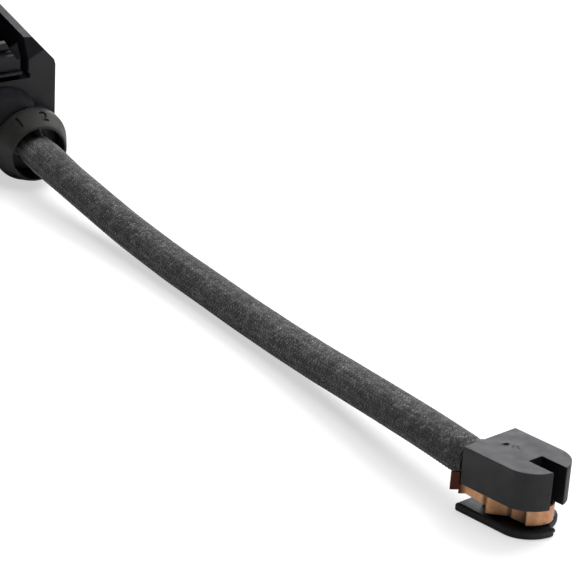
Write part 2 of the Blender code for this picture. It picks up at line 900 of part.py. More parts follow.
def addSlits():
    left = leverY - leverWidth / 2
    right = leverY + leverWidth / 2
    slitFront = guardFront + slitFrontGap
    high = guardTop + cutterReach
    beamTop = slitBottom + leverThickness
    padFront = wallX - padDepth
    upperRear = wallX - padDepth / 2
    lowerTop = guardTop - ledgeHeight - ledgeStep
    slitLow = slitBottom - leverGap / 2
    out = cutterReach
    return [
        box("slit_a", (slitFront, left - slitWidth, slitLow), (wallX + out, left, high)),
        box("slit_b", (slitFront, right, slitLow), (wallX + out, right + slitWidth, high)),
        box(
            "under_lever",
            (slitFront + out, left - slitWidth - clearance, slitBottom - leverGap),
            (wallX + out, right + slitWidth + clearance, slitBottom),
        ),
        box(
            "over_lever",
            (slitFront + out / 2, left - clearance, beamTop),
            (padFront, right + clearance, high),
        ),
        box(
            "upper_step",
            (upperRear, left - clearance, lowerTop),
            (wallX + out, right + clearance, high),
        ),
        box(
            "upper_recess",
            (upperRear - ledgeRecess, left - clearance, lowerTop + clearance),
            (upperRear + out, right + clearance, guardTop - ledgeHeight),
        ),
        box(
            "lower_recess",
            (wallX - ledgeRecess, left - clearance, slitBottom + recessLift),
            (wallX + out, right + clearance, lowerTop - ledgeHeight),
        ),
    ]


def addCavities():
    socketHalfWidth = shroudHalfWidth - shroudWall
    socketHalfHeight = shroudHalfHeight - shroudWall
    cavities = [
        rod("cap_recess", (cutterReach, 0, 0), (chamberRear, 0, 0), capPlugRadius + clearance, 40),
        acrossPlate(
            "mating_socket",
            roundedOutline(socketHalfWidth, socketHalfHeight, socketCorner),
            socketFloor,
            shroudFront - cutterReach,
        ),
    ]
    for side in (-1, 1):
        y = side * cavityPitch / 2
        chamber = rod(
            "seal_chamber",
            (chamberRear + cavityLap, y, 0),
            (chamberFront, y, 0),
            sealRadius + wireClearance,
            24,
        )
        cavity = rod(
            "contact_cavity",
            (chamberFront + cavityLap, y, 0),
            (socketFloor - cavityLap, y, 0),
            cavityRadius,
            24,
        )
        cavities.extend([chamber, cavity])
    return cavities


plugTurn = (
    Matrix.Rotation(plugYaw, 4, "Z")
    @ Matrix.Rotation(plugPitch, 4, "Y")
    @ Matrix.Rotation(plugRoll, 4, "X")
)
plugFrame = Matrix.Translation(plugMouth) @ plugTurn
plugEmpty = bpy.data.objects.new("plug_frame", None)
partCollection.objects.link(plugEmpty)
plugEmpty.matrix_world = plugFrame

points, leadPoint, leadDirection = leadPoints()
socketEnd = addSensorHead(leadPoint, leadDirection)
addHeadInside(socketEnd)
addSpringClip()
addLead(points)
addRearCap()
addContacts()
addRetainerAndLock()
addHousing()
bpy.context.view_layer.update()
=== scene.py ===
# Brake pad wear sensor: the looks over the CAD model, in its frame and in metres.
# The origin is the middle of the head's standing face, +X points to the head's nose.

from math import cos, floor, pi, radians, sin, tan

import bmesh
import bpy
from mathutils import Matrix, Vector
from mathutils.geometry import interpolate_bezier


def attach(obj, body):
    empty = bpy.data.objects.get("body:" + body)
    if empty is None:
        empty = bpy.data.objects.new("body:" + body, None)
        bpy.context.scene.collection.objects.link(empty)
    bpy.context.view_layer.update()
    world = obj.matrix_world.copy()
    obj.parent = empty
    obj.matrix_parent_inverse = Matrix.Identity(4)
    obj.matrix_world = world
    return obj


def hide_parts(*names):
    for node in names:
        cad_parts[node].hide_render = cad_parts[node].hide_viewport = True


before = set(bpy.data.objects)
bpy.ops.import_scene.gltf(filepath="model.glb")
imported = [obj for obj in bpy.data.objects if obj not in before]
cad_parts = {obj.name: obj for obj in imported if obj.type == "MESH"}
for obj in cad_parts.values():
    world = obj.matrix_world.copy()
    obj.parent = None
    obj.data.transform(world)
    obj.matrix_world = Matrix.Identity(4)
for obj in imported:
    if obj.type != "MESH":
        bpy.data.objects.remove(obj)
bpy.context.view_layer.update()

mm = 0.001

# The camera fitted to the head's edges in the photo: pixels, then degrees, then millimetres
photoWidth = 577
focalLength = 2739.8
cameraAzimuth = 44.61
cameraElevation = 21.716
cameraRoll = 4.472
cameraAim = (-7.1, 0.0, 0.0)
cameraShift = (-29.421, 32.675, 414.709)     # from the aim to its right, up and back


def linear(hexCode):
    channels = []
    for index in (0, 2, 4):
        value = int(hexCode[index:index + 2], 16) / 255
        channels.append(value / 12.92 if value <= 0.04045 else ((value + 0.055) / 1.055) ** 2.4)
    return (*channels, 1.0)


def grey(level):
    return (level, level, level, 1.0)


def addItem(name, data):
    item = bpy.data.objects.new(name, data)
    bpy.context.scene.collection.objects.link(item)
    return item


def addCamera():
    azimuth = radians(cameraAzimuth)
    elevation = radians(cameraElevation)
    roll = radians(cameraRoll)
    back = Vector((sin(azimuth) * cos(elevation), -cos(azimuth) * cos(elevation), sin(elevation)))
    level = Vector((cos(azimuth), sin(azimuth), 0.0))
    upright = back.cross(level)
    right = level * cos(roll) + upright * sin(roll)
    up = upright * cos(roll) - level * sin(roll)
    data = bpy.data.cameras.new("camera")
    data.sensor_fit = "HORIZONTAL"
    data.sensor_width = 36.0
    data.lens = data.sensor_width * focalLength / photoWidth
    data.clip_start = 0.01
    data.clip_end = 20.0
    item = addItem("camera", data)
    toRight, toTop, toBack = cameraShift
    place = Vector(cameraAim) + right * toRight + up * toTop + back * toBack
    turn = Matrix((right, up, back)).transposed().to_4x4()
    item.matrix_world = Matrix.Translation(place * mm) @ turn
    bpy.context.scene.camera = item


addCamera()
print("camera placed")


# Nodes and materials
def addNode(tree, kind, settings=None, links=None):
    # a key is a socket's name or number, or in settings also a property of the node
    made = tree.nodes.new(kind)
    for key, value in (settings or {}).items():
        if isinstance(key, int) or key in made.inputs:
            made.inputs[key].default_value = value
        else:
            setattr(made, key, value)
    for key, socket in (links or {}).items():
        tree.links.new(socket, made.inputs[key])
    return made


def calc(tree, operation, *values):
    settings = {"operation": operation}
    links = {}
    for index, value in enumerate(values):
        if isinstance(value, (int, float)):
            settings[index] = value
        else:
            links[index] = value
    return addNode(tree, "ShaderNodeMath", settings, links).outputs[0]


def blank(name, roughness, metallic=0.0):
    material = bpy.data.materials.new(name)
    material.use_nodes = True
    tree = material.node_tree
    shader = tree.nodes["Principled BSDF"]
    shader.inputs["Roughness"].default_value = roughness
    shader.inputs["Metallic"].default_value = metallic
    return material, tree, shader


def objectPlace(tree):
    return addNode(tree, "ShaderNodeTexCoord").outputs["Object"]


def noise(tree, size, detail=3.0, squeeze=(1.0, 1.0, 1.0), roughness=0.5):
    # noise with features of that size, in millimetres, divided by squeeze along each axis
    squeezed = addNode(tree, "ShaderNodeMapping", {"Scale": squeeze}, {"Vector": objectPlace(tree)})
    settings = {"Scale": 1.0 / (size * mm), "Detail": detail, "Roughness": roughness}
    made = addNode(tree, "ShaderNodeTexNoise", settings, {"Vector": squeezed.outputs[0]})
    return made.outputs["Fac"]


def ramp(tree, fac, stops):
    made = addNode(tree, "ShaderNodeValToRGB", {}, {"Fac": fac})
    elements = made.color_ramp.elements
    while len(elements) < len(stops):
        elements.new(0.5)
    for element, (place, colour) in zip(elements, stops):
        element.position = place
        element.color = colour
    return made.outputs["Color"]


def multiplied(tree, colour, crownShadeAndTone):
    settings = {"data_type": "RGBA", "blend_type": "MULTIPLY", 0: 1.0}
    return addNode(tree, "ShaderNodeMix", settings, {6: colour, 7: crownShadeAndTone}).outputs[2]


def mapped(tree, value, given, wanted, kind="LINEAR"):
    # the value carried over from the given range to the wanted one
    settings = {
        "interpolation_type": kind,
        "From Min": given[0],
        "From Max": given[1],
        "To Min": wanted[0],
        "To Max": wanted[1],
    }
    return addNode(tree, "ShaderNodeMapRange", settings, {"Value": value}).outputs["Result"]


def softEdges(tree, radius):
    # the normal of the same shape with its edges rounded, radius in millimetres
    return addNode(tree, "ShaderNodeBevel", {"Radius": radius * mm, "samples": 6}).outputs[0]


def bump(tree, height, depth, before=None):
    # depth is the relief's height in millimetres
    links = {"Height": height}
    if before:
        links["Normal"] = before
    settings = {"Strength": 1.0, "Distance": depth * mm}
    return addNode(tree, "ShaderNodeBump", settings, links).outputs["Normal"]


def mouldedPlastic(name, dark, mid, light, roughness, grain, specular=0.5):
    # glass-filled nylon, injection moulded against a fine spark-eroded tool face, grain in mm
    material, tree, shader = blank(name, roughness)
    flow = noise(tree, 6.0, 4.0, (0.35, 1.0, 1.0), 0.55)
    fleck = noise(tree, 0.35, 2.0)
    mixed = calc(tree, "MULTIPLY_ADD", fleck, 0.35, calc(tree, "MULTIPLY", flow, 0.65))
    colour = ramp(tree, mixed, [(0.3, linear(dark)), (0.5, linear(mid)), (0.72, linear(light))])
    tree.links.new(colour, shader.inputs["Base Color"])
    smudge = noise(tree, 2.2, 3.0)
    unevenness = 0.22
    rough = calc(tree, "MULTIPLY_ADD", smudge, unevenness, roughness - unevenness / 2)
    tree.links.new(rough, shader.inputs["Roughness"])
    pitted = bump(tree, noise(tree, 0.16, 2.0), grain, softEdges(tree, 0.15))
    waves = noise(tree, 3.5, 2.0)
    tree.links.new(bump(tree, waves, 0.03, pitted), shader.inputs["Normal"])
    shader.inputs["Specular IOR Level"].default_value = specular
    return material


def wovenYarn(name, around, along):
    # textured polyester yarn, braided two over and two under, charcoal dyed in the spinning,
    # with that many strands around the sleeve and along it
    material, tree, shader = blank(name, 0.85)
    place = addNode(tree, "ShaderNodeUVMap").outputs[0]
    split = addNode(tree, "ShaderNodeSeparateXYZ", {}, {"Vector": place})
    p = calc(tree, "MULTIPLY", split.outputs[0], around)
    q = calc(tree, "MULTIPLY", split.outputs[1], along)
    # the strands of one direction lie along a, those of the other along b
    a = calc(tree, "ADD", p, q)
    b = calc(tree, "SUBTRACT", p, q)
    cellA = calc(tree, "FLOOR", a)
    cellB = calc(tree, "FLOOR", b)
    turn = calc(tree, "FLOORED_MODULO", calc(tree, "ADD", cellA, cellB), 4.0)
    over = calc(tree, "LESS_THAN", turn, 1.5)
    parts = {"Factor": over, 2: calc(tree, "FRACT", a), 3: calc(tree, "FRACT", b)}
    across = addNode(tree, "ShaderNodeMix", {"data_type": "FLOAT"}, parts).outputs[0]
    offCentre = calc(tree, "ABSOLUTE", calc(tree, "SUBTRACT", across, 0.5))
    hollow = calc(tree, "MULTIPLY", calc(tree, "POWER", offCentre, 2.0), 4.0)
    crown = calc(tree, "SUBTRACT", 1.0, hollow)
    fibresAcross = 3.0
    fibres = calc(tree, "SINE", calc(tree, "MULTIPLY", across, 2 * pi * fibresAcross))
    cell = addNode(tree, "ShaderNodeCombineXYZ", {}, {0: cellA, 1: cellB}).outputs[0]
    dice = addNode(tree, "ShaderNodeTexWhiteNoise", {"noise_dimensions": "3D"}, {"Vector": cell})
    chance = dice.outputs["Value"]
    fuzz = noise(tree, 0.22, 3.0)
    patches = noise(tree, 2.6, 2.0)
    # each strand lighter on its crown and darker at its edges, painted shade in the grooves between
    # strands, plus a random tone for each strand
    crownShadeAndTone = calc(tree, "MULTIPLY_ADD", chance, 0.28, calc(tree, "MULTIPLY", crown, 0.30))
    frizz = calc(tree, "MULTIPLY_ADD", fibres, 0.06, calc(tree, "MULTIPLY", fuzz, 0.42))
    tone = calc(tree, "ADD", crownShadeAndTone, frizz)
    tone = calc(tree, "ADD", tone, calc(tree, "MULTIPLY_ADD", patches, 0.36, -0.18))
    stops = [
        (0.18, linear("1a1a1a")),
        (0.45, linear("333333")),
        (0.66, linear("454545")),
        (0.86, linear("787878")),
    ]
    # darker toward the plug, where the share of the lead's length is small: painted shade, as the
    # light falls off there
    plugEndShade = mapped(tree, split.outputs[1], (0.05, 0.35), (0.82, 1.0))
    tree.links.new(multiplied(tree, ramp(tree, tone, stops), plugEndShade), shader.inputs["Base Color"])
    woven = bump(tree, calc(tree, "MULTIPLY_ADD", fibres, 0.12, crown), 0.05)
    tree.links.new(bump(tree, fuzz, 0.07, woven), shader.inputs["Normal"])
    shader.inputs["Sheen Weight"].default_value = 1.0
    shader.inputs["Sheen Roughness"].default_value = 0.30
    shader.inputs["Specular IOR Level"].default_value = 0.25
    return material


def springStrip(name):
    # phosphor bronze strip, cold rolled, blanked and folded, left bare
    material, tree, shader = blank(name, 0.3, 0.78)
    tarnish = noise(tree, 2.4, 4.0)
    spots = noise(tree, 0.5, 3.0)
    mixed = calc(tree, "MULTIPLY_ADD", spots, 0.3, calc(tree, "MULTIPLY", tarnish, 0.7))
    stops = [(0.3, linear("d8956a")), (0.52, linear("f4b88a")), (0.75, linear("fcd8b0"))]
    bare = ramp(tree, mixed, stops)
    along = addNode(tree, "ShaderNodeSeparateXYZ", {}, {"Vector": objectPlace(tree)}).outputs[0]
    # painted shade lies in the folds and painted highlights on the edges beside them, in place of
    # the strip's reflections: x in mm, tone left
    foldShadeAndHighlight = [
        (-7.2, 0.80), (-6.5, 1.0), (-5.2, 0.90), (-3.6, 0.98), (-2.9, 0.74), (-2.55, 0.22),
        (-2.15, 0.30), (-1.98, 1.0), (-1.5, 0.78), (-0.4, 0.58), (0.3, 0.78), (0.7, 0.24),
        (1.15, 0.26), (1.35, 1.0), (2.0, 0.88), (3.0, 0.50), (3.75, 0.22), (4.2, 0.30),
        (4.45, 0.74), (5.1, 0.64), (5.5, 0.80),
    ]
    start = foldShadeAndHighlight[0][0]
    reach = 13.0
    place = calc(tree, "MULTIPLY_ADD", along, 1 / (reach * mm), -start / reach)
    paintedFoldLight = ramp(tree, place, [((x - start) / reach, grey(share)) for x, share in foldShadeAndHighlight])
    # the bronze darkened in the folds and brightened beside them: painted shade and painted
    # highlight
    bare = multiplied(tree, bare, paintedFoldLight)
    # the tongue behind the head is darkened to a brown: painted shade, from the lead above it and
    # the dark surroundings
    tongueShadeMask = mapped(tree, along, (-6.6 * mm, -7.4 * mm), (0.0, 1.0), "SMOOTHSTEP")
    tongueShadeSettings = {"data_type": "RGBA", 7: linear("5a3020")}
    tongueShaded = addNode(tree, "ShaderNodeMix", tongueShadeSettings, {0: tongueShadeMask, 6: bare})
    tree.links.new(tongueShaded.outputs[2], shader.inputs["Base Color"])
    rough = calc(tree, "MULTIPLY_ADD", tarnish, 0.2, 0.30)
    tree.links.new(rough, shader.inputs["Roughness"])
    rolled = noise(tree, 0.5, 2.0, (0.6, 0.6, 9.0))
    tree.links.new(bump(tree, rolled, 0.006, softEdges(tree, 0.03)), shader.inputs["Normal"])
    return material


def twoTone(tree, shader, tone, dark, light):
    stops = [(0.3, linear(dark)), (0.7, linear(light))]
    tree.links.new(ramp(tree, tone, stops), shader.inputs["Base Color"])


def plainMetal(name, dark, light, roughness):
    # stamped strip or drawn wire, tinned or bare
    material, tree, shader = blank(name, roughness, 1.0)
    tone = noise(tree, 0.8, 3.0)
    twoTone(tree, shader, tone, dark, light)
    unevenness = 0.2
    rough = calc(tree, "MULTIPLY_ADD", tone, unevenness, roughness - unevenness / 2)
    tree.links.new(rough, shader.inputs["Roughness"])
    tree.links.new(bump(tree, noise(tree, 0.25, 2.0), 0.008), shader.inputs["Normal"])
    return material


def softSilicone(name, dark, light):
    # moulded silicone seal with a dusty, oiled surface
    material, tree, shader = blank(name, 0.6)
    twoTone(tree, shader, noise(tree, 1.2, 3.0), dark, light)
    tree.links.new(bump(tree, noise(tree, 0.2, 2.0), 0.01), shader.inputs["Normal"])
    shader.inputs["Sheen Weight"].default_value = 0.1
    return material


headPlastic = mouldedPlastic("head_nylon", "141417", "1c1c21", "26262b", 0.5, 0.012)
plugPlastic = mouldedPlastic("plug_nylon", "17171b", "1e1e23", "26262c", 0.5, 0.010, specular=0.42)
capPlastic = mouldedPlastic("cap_nylon", "262625", "30302f", "3b3b39", 0.5, 0.010)
insulation = mouldedPlastic("wire_insulation", "101012", "18181a", "202022", 0.4, 0.004)
lockPlastic = mouldedPlastic("lock_plastic", "8d8b82", "9c9a90", "a8a69c", 0.5, 0.006)
bronze = springStrip("spring_bronze")
copper = plainMetal("drawn_copper", "a85f3e", "d08a62", 0.32)
tinned = plainMetal("tinned_brass", "a9a69c", "cfccc2", 0.3)
silicone = softSilicone("seal_silicone", "5a2218", "7a3424")


# Mesh pieces
def addPiece(name, mesh, material, slot, *nodes):
    item = addItem(name, mesh)
    mesh.materials.clear()
    mesh.materials.append(material)
    if nodes:
        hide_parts(*nodes)
    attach(item, "root")
    return item


def smoothRoute(points, perSpan):
    # a smooth curve through the points, with handles a sixth as long as the neighbours' chord
    slopes = []
    for index in range(len(points)):
        before = points[max(index - 1, 0)]
        after = points[min(index + 1, len(points) - 1)]
        slopes.append((after - before) / 6)
    route = [points[0]]
    for index in range(len(points) - 1):
        near = points[index]
        far = points[index + 1]
        handles = (near + slopes[index], far - slopes[index + 1])
        span = interpolate_bezier(near, *handles, far, perSpan + 1)
        route.extend(span[1:])
    return route


def evenly(route, spacing):
    # the same route with its points the same distance apart
    total = sum((second - first).length for first, second in zip(route, route[1:]))
    count = max(2, round(total / spacing))
    wanted = [total * step / count for step in range(count + 1)]
    result = []
    walked = 0.0
    index = 0
    for target in wanted:
        while index < len(route) - 2 and walked + (route[index + 1] - route[index]).length < target:
            walked += (route[index + 1] - route[index]).length
            index += 1
        step = route[index + 1] - route[index]
        result.append(route[index] + step * min(1.0, (target - walked) / step.length))
    return result, total


# Woven lead: the sleeve in its braid, a little fuller than the CAD model's plain tube
braidCarriers = 24                # strands each way round the sleeve
sleeveDiameter = 6.20 * mm
braidPitch = pi * sleeveDiameter / braidCarriers   # along the lead, strands laid at 45 degrees
strandSteps = 4                   # mesh steps across a strand
braidRelief = 0.11 * mm
reliefInside = 0.75               # share of the relief that lies inside the sleeve's diameter
sleeveFullness = 0.12 * mm        # added to the radius along the free length
fadeLength = 3 * mm               # in which that comes and goes at the ends
plainAtHead = 0.6 * mm            # so near the head nothing is added
bunchRise = 0.20 * mm             # added again where the sleeve is bunched up as it leaves the plug
bunchPlace = 4 * mm               # past the plug's mouth
bunchReach = 9 * mm               # to either side
liftShare = 0.7                   # of what is added: the sleeve rests on the floor and not in it


def braidHeight(p, q):
    # how proud the surface stands at p strands round and q strands along, from 0 to 1: each strand
    # goes over two and under two, and rises from 0.45 of its height to all of it in between
    a = p + q
    b = p - q
    cellA = floor(a)
    cellB = floor(b)
    over = (cellA + cellB) % 4 < 2
    across = b - cellB if over else a - cellA
    travel = (a + cellB) % 4 if over else (b + cellA - 2) % 4
    crown = 1.0 - (2 * across - 1) ** 2
    rise = sin(pi * min(max(travel, 0.0), 2.0) / 2)
    return crown * (0.45 + 0.55 * rise)


# The plug lies at this place and these angles, as in the CAD model
plugMouth = Vector((-151.0, 29.75, 7.08)) * mm
plugHeading = -15.0
plugSlope = 7.5
plugRoll = 5.0
plugFrame = (
    Matrix.Translation(plugMouth)
    @ Matrix.Rotation(radians(plugHeading), 4, "Z")
    @ Matrix.Rotation(radians(plugSlope), 4, "Y")
    @ Matrix.Rotation(radians(plugRoll), 4, "X")
)
sleeveInPlug = 8.6 * mm
sleeveInHead = 0.8 * mm

# The lead's middle line from the plug's mouth to the head's back, as in the CAD model
leadRoute = [
    (-0.1457, 0.0284, 0.00680),
    (-0.1398, 0.0271, 0.00634),
    (-0.1339, 0.0259, 0.00582),
    (-0.1280, 0.0248, 0.00524),
    (-0.1221, 0.0237, 0.00466),
    (-0.1162, 0.0226, 0.00414),
    (-0.1103, 0.0216, 0.00372),
    (-0.1044, 0.0205, 0.00343),
    (-0.0985, 0.0193, 0.00327),
    (-0.0927, 0.0182, 0.00320),
    (-0.0868, 0.0170, 0.00318),
    (-0.0809, 0.0157, 0.00320),
    (-0.0751, 0.0144, 0.00328),
    (-0.0692, 0.0131, 0.00342),
    (-0.0634, 0.0117, 0.00364),
    (-0.0575, 0.0103, 0.00395),
    (-0.0517, 0.0088, 0.00433),
    (-0.0459, 0.0074, 0.00476),
    (-0.0401, 0.0059, 0.00522),
    (-0.0343, 0.0044, 0.00569),
    (-0.0285, 0.0029, 0.00614),
    (-0.0227, 0.00145, 0.00654),
    (-0.0169, 0.00005, 0.00682),
    (-0.0112, -0.00125, 0.00700),
]
leadEnd = (-0.0074, -0.00195, 0.00705)


def addedRadius(pastMouth, beforeHead):
    fromPlug = max((pastMouth + fadeLength) / fadeLength, 0.0)
    fromHead = max((beforeHead - plainAtHead) / fadeLength, 0.0)
    bunch = bunchRise * max(0.0, 1.0 - abs(pastMouth - bunchPlace) / bunchReach)
    return min(fromPlug, fromHead, 1.0) * (sleeveFullness + bunch)


def addLead():
    alongPlug = plugFrame.to_3x3() @ Vector((1.0, 0.0, 0.0))
    points = [plugMouth - alongPlug * sleeveInPlug, plugMouth - alongPlug * sleeveInPlug / 2]
    points += [plugMouth] + [Vector(point) for point in leadRoute]
    last = Vector(leadEnd)
    points += [last, last + (last - points[-1]).normalized() * sleeveInHead]
    rings, total = evenly(smoothRoute(points, 16), braidPitch / strandSteps)
    columns = braidCarriers * strandSteps
    radius = sleeveDiameter / 2 - braidRelief * reliefInside
    tangent = (rings[1] - rings[0]).normalized()
    side = tangent.cross(Vector((0.0, 0.0, 1.0))).normalized()
    spacing = total / (len(rings) - 1)
    vertices = []
    for ringIndex, centre in enumerate(rings):
        pastMouth = ringIndex * spacing - sleeveInPlug
        beforeHead = total - sleeveInHead - ringIndex * spacing
        added = addedRadius(pastMouth, beforeHead)
        before = rings[max(ringIndex - 1, 0)]
        after = rings[min(ringIndex + 1, len(rings) - 1)]
        tangent = (after - before).normalized()
        side = (side - tangent * side.dot(tangent)).normalized()
        over = side.cross(tangent)
        middle = centre + Vector((0.0, 0.0, added * liftShare))
        for column in range(columns):
            angle = 2 * pi * column / columns
            height = braidHeight(column / strandSteps, ringIndex / strandSteps)
            out = side * cos(angle) + over * sin(angle)
            vertices.append(middle + out * (radius + added + braidRelief * height))
    faces = []
    coordinates = []
    gaps = len(rings) - 1
    for ringIndex in range(gaps):
        for column in range(columns):
            following = (column + 1) % columns
            low = ringIndex * columns
            high = low + columns
            faces.append((low + column, low + following, high + following, high + column))
            for around, along in ((0, 0), (1, 0), (1, 1), (0, 1)):
                coordinates.append(((column + around) / columns, (ringIndex + along) / gaps))
    # a fan closes each end
    for ringIndex in (0, gaps):
        vertices.append(rings[ringIndex])
        for column in range(columns):
            following = (column + 1) % columns
            low = ringIndex * columns
            first, second = (following, column) if ringIndex == 0 else (column, following)
            faces.append((low + first, low + second, len(vertices) - 1))
            coordinates.extend([(0.0, 0.0)] * 3)
    mesh = bpy.data.meshes.new("woven_lead")
    mesh.from_pydata(vertices, [], faces)
    layer = mesh.uv_layers.new(name="braid")
    for corner, place in zip(layer.data, coordinates):
        corner.uv = place
    mesh.shade_smooth()
    yarn = wovenYarn("braided_yarn", braidCarriers, gaps / strandSteps)
    item = addPiece("woven_lead", mesh, yarn, "woven_sleeve", "braided_sleeve")
    print("lead", round(total * 1000, 1), "mm long,", len(rings), "rings")


addLead()


def asMesh(item):
    # an object with modifiers, or a curve, becomes a plain mesh and is taken away
    bpy.context.view_layer.update()
    evaluated = item.evaluated_get(bpy.context.evaluated_depsgraph_get())
    mesh = bpy.data.meshes.new_from_object(evaluated)
    mesh.transform(item.matrix_world)
    bpy.data.objects.remove(item)
    return mesh


def addBox(low, high):
    middle = [(a + b) / 2 for a, b in zip(low, high)]
    shape = bmesh.new()
    bmesh.ops.create_cube(shape, size=1.0)
    bmesh.ops.scale(shape, vec=[b - a for a, b in zip(low, high)], verts=shape.verts)
    bmesh.ops.translate(shape, vec=middle, verts=shape.verts)
    mesh = bpy.data.meshes.new("box")
    shape.to_mesh(mesh)
    shape.free()
    return addItem("box", mesh)


def cutAway(item, cutters, crossing=False):
    # the item's mesh with the cutters taken out of it, and the cutters gone
    for cutter in cutters:
        modifier = item.modifiers.new("cut", "BOOLEAN")
        modifier.object = cutter
        modifier.operation = "DIFFERENCE"
        modifier.solver = "EXACT"
        modifier.use_self = crossing
    mesh = asMesh(item)
    for cutter in cutters:
        bpy.data.objects.remove(cutter)
    return mesh


def softened(mesh, width, segments, angle):
    # the same mesh with its sharp edges rounded
    item = addItem("soft", mesh)
    modifier = item.modifiers.new("edges", "BEVEL")
    modifier.width = width
    modifier.segments = segments
    modifier.limit_method = "ANGLE"
    modifier.angle_limit = radians(angle)
    modifier.use_clamp_overlap = True
    return asMesh(item)


def smoothed(mesh, angle=35):
    mesh.shade_smooth()
    mesh.set_sharp_from_angle(angle=radians(angle))
    return mesh


# Spring clip: one strip, folded along both sides of the head and round its nose
headBack = -7.125 * mm
headHalfWidth = 5.75 * mm
straightEnd = 2.175 * mm          # where the head's sides turn into its rounded nose
clipThickness = 0.35 * mm
clipFolds = [                     # millimetres ahead of the head's back and in from its side
    (0.40, 1.05),
    (4.55, 0.52),
    (5.10, 0.62),
    (7.85, 2.62),
    (8.40, 2.60),
]
lastFold = (0.394, 2.64)          # millimetres back from the arc's start and in from that side
arcReach = 3.60 * mm              # of the arc round the nose, ahead of the straight sides' end
arcRight = 4.20 * mm              # its half width on the head's right, and on its left
arcLeft = 3.40 * mm
arcTurn = radians(55)             # to either side
arcSteps = 32
tongueEnd = (1.10, 0.90)          # millimetres behind the head's back and out from its right side
bendRadius = 0.22 * mm
bendSteps = 3
stripBottom = 1.70 * mm
stripTop = 4.42 * mm
raisedBottom = 2.90 * mm          # the strip's lower edge beside the rear of the head
raisedLength = 4.85 * mm          # ahead of the head's back
tongueBottom = 3.55 * mm
tongueTop = 6.45 * mm
tongueRoot = 0.30 * mm            # behind the head's back


def clipPath():
    side = [(headBack + along * mm, headHalfWidth - inset * mm) for along, inset in clipFolds]
    foldBack, foldIn = lastFold
    foldX = straightEnd + arcReach * cos(arcTurn) - foldBack * mm
    side.append((foldX, headHalfWidth - foldIn * mm))
    arc = []
    for step in range(arcSteps + 1):
        turn = -arcTurn + 2 * arcTurn * step / arcSteps
        width = arcRight if turn < 0 else arcLeft
        arc.append((straightEnd + arcReach * cos(turn), width * sin(turn)))
    behind, outside = tongueEnd
    tongue = [(headBack - behind * mm, -headHalfWidth - outside * mm)]
    return tongue + [(x, -y) for x, y in side], arc, side[::-1]


def rounded(points, radius, steps):
    # a flat path with its corners turned at that radius, as far as their sides allow
    plainBend = radians(8)
    longestReach = 0.45
    path = [Vector(points[0])]
    for index in range(1, len(points) - 1):
        corner = Vector(points[index])
        back = Vector(points[index - 1]) - corner
        ahead = Vector(points[index + 1]) - corner
        bend = back.angle(-ahead)
        if bend < plainBend:
            path.append(corner)
            continue
        reach = min(radius * tan(bend / 2), back.length * longestReach, ahead.length * longestReach)
        start = corner + back.normalized() * reach
        end = corner + ahead.normalized() * reach
        for step in range(steps + 1):
            share = step / steps
            rest = 1 - share
            path.append(start * rest ** 2 + corner * 2 * share * rest + end * share ** 2)
    path.append(Vector(points[-1]))
    return path


def addClip():
    left, arc, right = clipPath()
    path = rounded(left + arc[:1], bendRadius, bendSteps)[:-1] + [Vector(point) for point in arc]
    path += rounded(arc[-1:] + right, bendRadius, bendSteps)[1:]
    vertices = [(x, y, z) for x, y in path for z in (stripBottom, tongueTop)]
    faces = []
    for index in range(len(path) - 1):
        first = index * 2
        faces.append((first, first + 2, first + 3, first + 1))
    mesh = bpy.data.meshes.new("clip")
    mesh.from_pydata(vertices, [], faces)
    strip = addItem("clip", mesh)
    thick = strip.modifiers.new("strip", "SOLIDIFY")
    thick.thickness = clipThickness
    thick.offset = -1.0
    thick.use_even_offset = True
    far = 30 * mm
    root = headBack - tongueRoot
    cutters = [
        addBox((root, -far, stripTop), (far, far, far)),
        addBox((-far, -far, -far), (root, far, tongueBottom)),
        addBox((root, -far, -far), (headBack + raisedLength, far, raisedBottom)),
    ]
    mesh = cutAway(strip, cutters, crossing=True)
    mesh = smoothed(softened(mesh, width=0.05 * mm, segments=2, angle=50), angle=22)
    addPiece("folded_clip", mesh, bronze, "spring_bronze", "spring_clip")


addClip()


# Rear cap: the cone round the lead's mouth, with two plain digits sunk in it
capSides = 128
coneSlope = radians(23)
digitHeight = 2.3 * mm
digitDepth = 0.34 * mm            # to either side of the cone at the digit's middle
digitPlace = -2.40 * mm           # along the plug's axis from its mouth
digitRadius = 6.82 * mm           # from that axis
digitFullness = 0.12 * mm         # added to the strokes of the plain letter form
capitalShare = 0.72               # of a font's size


def turnedMesh(name, profile, sides):
    # a closed profile of (x, radius) points turned about the X axis
    vertices = []
    for step in range(sides):
        angle = 2 * pi * step / sides
        for x, radius in profile:
            vertices.append((x * mm, radius * mm * sin(angle), radius * mm * cos(angle)))
    count = len(profile)
    faces = []
    for step in range(sides):
        near = step * count
        far = (step + 1) % sides * count
        for index in range(count):
            after = (index + 1) % count
            faces.append((near + index, near + after, far + after, far + index))
    mesh = bpy.data.meshes.new(name)
    mesh.from_pydata(vertices, [], faces)
    shape = bmesh.new()
    shape.from_mesh(mesh)
    bmesh.ops.recalc_face_normals(shape, faces=shape.faces)
    shape.to_mesh(mesh)
    shape.free()
    return mesh


def addDigit(text, around):
    # a digit's solid, lying on the cone with its foot toward the mouth
    curve = bpy.data.curves.new("digit", "FONT")
    curve.body = text
    curve.size = digitHeight / capitalShare
    curve.align_x = "CENTER"
    curve.align_y = "CENTER"
    curve.extrude = digitDepth
    curve.offset = digitFullness
    curve.resolution_u = 4
    item = addItem("digit", curve)
    radial = Vector((0.0, sin(around), cos(around)))
    right = Vector((0.0, cos(around), -sin(around)))
    up = Vector((-cos(coneSlope), 0.0, 0.0)) + radial * sin(coneSlope)
    out = right.cross(up)
    turn = Matrix((right, up, out)).transposed().to_4x4()
    place = radial * digitRadius + Vector((digitPlace, 0.0, 0.0))
    item.matrix_world = Matrix.Translation(place) @ turn
    return addItem("digit", asMesh(item))


